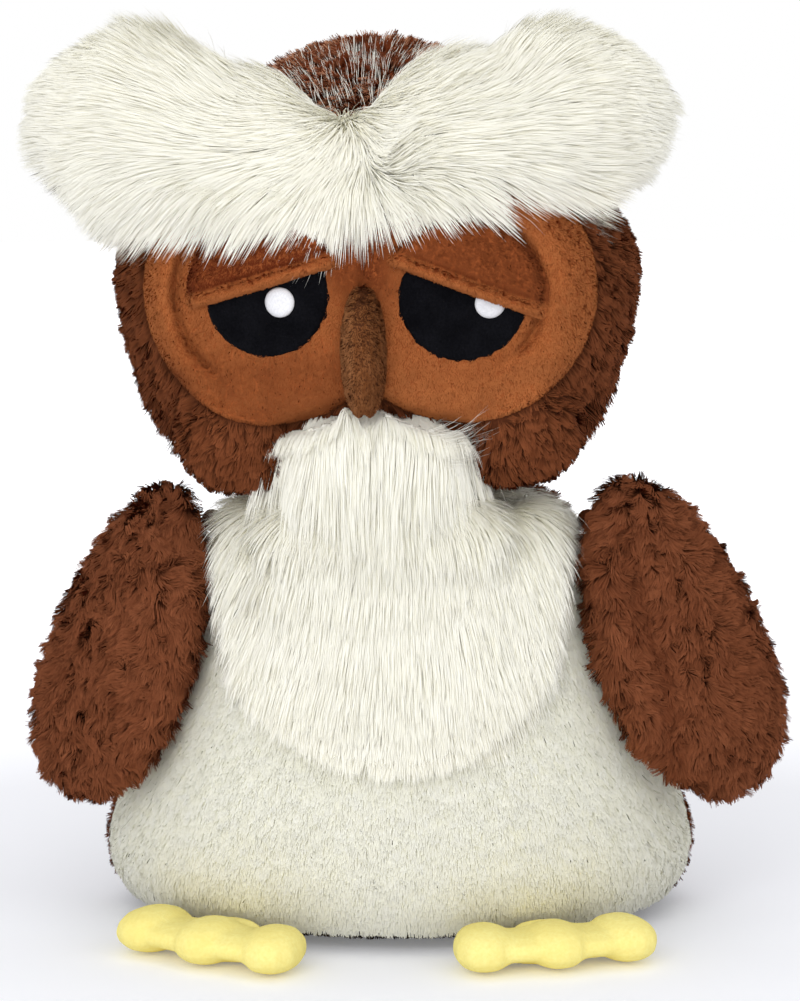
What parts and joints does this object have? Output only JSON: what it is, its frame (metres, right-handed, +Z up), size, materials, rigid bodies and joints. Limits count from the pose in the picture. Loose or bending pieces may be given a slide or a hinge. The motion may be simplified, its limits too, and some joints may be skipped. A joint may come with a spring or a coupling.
{
  "type": "plush owl",
  "caption": "Seated stuffed owl in short plush and long white fur, with heavy-lidded felt eyes, a soft neck, hanging wings, fold-up feet and fluffy brows.",
  "frame": {"origin": "centre of the flat underside of the base panel, on the surface the owl stands on", "axes": "+Z up through the neck, -Y the way the belly faces, +X towards the owl's own left wing"},
  "size_m": [0.2443, 0.1591, 0.2941],
  "materials": {
    "brown_plush": "short curly plush pile",
    "cream_plush": "short plush pile",
    "white_fur": "long silky fur pile",
    "tan_velboa": "smooth short velvet pile",
    "black_felt": "matt felt",
    "white_felt": "matt felt",
    "beak_suede": "brushed suede cloth",
    "yellow_velboa": "smooth short velvet pile",
    "dark_base": "short dark brown plush",
    "stuffing": "loose polyester fibre",
    "pouch_cloth": "plain woven lining cloth",
    "pellets": "loose plastic granules",
    "thread": "heavy sewing thread"
  },
  "bodies": {
    "body": {"belly_panel": "cream_plush", "back_panel_left": "brown_plush", "back_panel_right": "brown_plush", "base_panel": "dark_base", "body_stuffing": "stuffing", "pellet_pouch_top": "pouch_cloth", "pellet_pouch_base": "pouch_cloth", "pellet_fill": "pellets", "chest_bib": "white_fur"},
    "neck_tie": {"neck_thread": "thread"},
    "neck_core": {"neck_stuffing": "stuffing"},
    "head": {"head_panel_left": "brown_plush", "head_panel_right": "brown_plush", "face_panel_left": "tan_velboa", "face_panel_right": "tan_velboa", "head_stuffing": "stuffing", "chin_bib": "white_fur", "eye_left": "black_felt", "eye_right": "black_felt", "highlight_left": "white_felt", "highlight_right": "white_felt", "eyelid_left": "tan_velboa", "eyelid_right": "tan_velboa", "brow_base_left": "white_fur", "brow_base_right": "white_fur"},
    "beak": {"beak_panel_left": "beak_suede", "beak_panel_right": "beak_suede", "beak_stuffing": "stuffing"},
    "brow_tip_left": {"brow_tip_left": "white_fur", "brow_stuffing_left": "stuffing"},
    "brow_tip_right": {"brow_tip_right": "white_fur", "brow_stuffing_right": "stuffing"},
    "shoulder_left": {"wing_tab_left": "brown_plush"},
    "shoulder_right": {"wing_tab_right": "brown_plush"},
    "wing_left": {"wing_front_left": "brown_plush", "wing_back_left": "brown_plush", "wing_stuffing_left": "stuffing"},
    "wing_right": {"wing_front_right": "brown_plush", "wing_back_right": "brown_plush", "wing_stuffing_right": "stuffing"},
    "foot_left": {"foot_top_left": "yellow_velboa", "foot_sole_left": "yellow_velboa", "foot_stuffing_left": "stuffing"},
    "foot_right": {"foot_top_right": "yellow_velboa", "foot_sole_right": "yellow_velboa", "foot_stuffing_right": "stuffing"}
  },
  "joints": [
    {"name": "neck_turn", "type": "hinge", "parent": "body", "child": "neck_tie", "pos_m": [0, 0, 0.1425], "axis": [0, 0, 1], "range_deg": [-20, 20], "stiffness_Nm_per_rad": 0.6},
    {"name": "neck_tilt", "type": "hinge", "parent": "neck_tie", "child": "neck_core", "pos_m": [0, 0, 0.1425], "axis": [0, 1, 0], "range_deg": [-4, 4], "stiffness_Nm_per_rad": 1.5},
    {"name": "neck_nod", "type": "hinge", "parent": "neck_core", "child": "head", "pos_m": [0, 0, 0.1425], "axis": [1, 0, 0], "range_deg": [-4, 6], "stiffness_Nm_per_rad": 1.5},
    {"name": "beak_lift", "type": "hinge", "parent": "head", "child": "beak", "pos_m": [-0.01137, -0.06388, 0.2117], "axis": [-0.998, 0.061, -0.0175], "range_deg": [0, 12], "stiffness_Nm_per_rad": 0.03},
    {"name": "left_brow_flop", "type": "hinge", "parent": "head", "child": "brow_tip_left", "pos_m": [0.04455, -0.02022, 0.26094], "axis": [0.0611, 0.9981, 0], "range_deg": [-15, 5], "stiffness_Nm_per_rad": 0.15},
    {"name": "right_brow_flop", "type": "hinge", "parent": "head", "child": "brow_tip_right", "pos_m": [-0.07521, -0.01289, 0.25884], "axis": [0.0611, 0.9981, 0], "range_deg": [-5, 15], "stiffness_Nm_per_rad": 0.15},
    {"name": "left_wing_swing", "type": "hinge", "parent": "body", "child": "shoulder_left", "pos_m": [0.06084, -0.00463, 0.12937], "axis": [-1, 0, 0], "range_deg": [0, 60]},
    {"name": "left_wing_lift", "type": "hinge", "parent": "shoulder_left", "child": "wing_left", "pos_m": [0.06084, -0.00463, 0.12937], "axis": [0, -1, 0], "range_deg": [0, 30]},
    {"name": "right_wing_swing", "type": "hinge", "parent": "body", "child": "shoulder_right", "pos_m": [-0.06084, -0.00463, 0.12937], "axis": [-1, 0, 0], "range_deg": [0, 60]},
    {"name": "right_wing_lift", "type": "hinge", "parent": "shoulder_right", "child": "wing_right", "pos_m": [-0.06084, -0.00463, 0.12937], "axis": [0, 1, 0], "range_deg": [0, 30]},
    {"name": "left_foot_fold", "type": "hinge", "parent": "body", "child": "foot_left", "pos_m": [0.04412, -0.05927, 0.00859], "axis": [-0.9659, -0.2588, 0], "range_deg": [0, 35]},
    {"name": "right_foot_fold", "type": "hinge", "parent": "body", "child": "foot_right", "pos_m": [-0.05101, -0.05677, 0.00848], "axis": [-0.848, 0.5299, 0], "range_deg": [0, 35]}
  ]
}
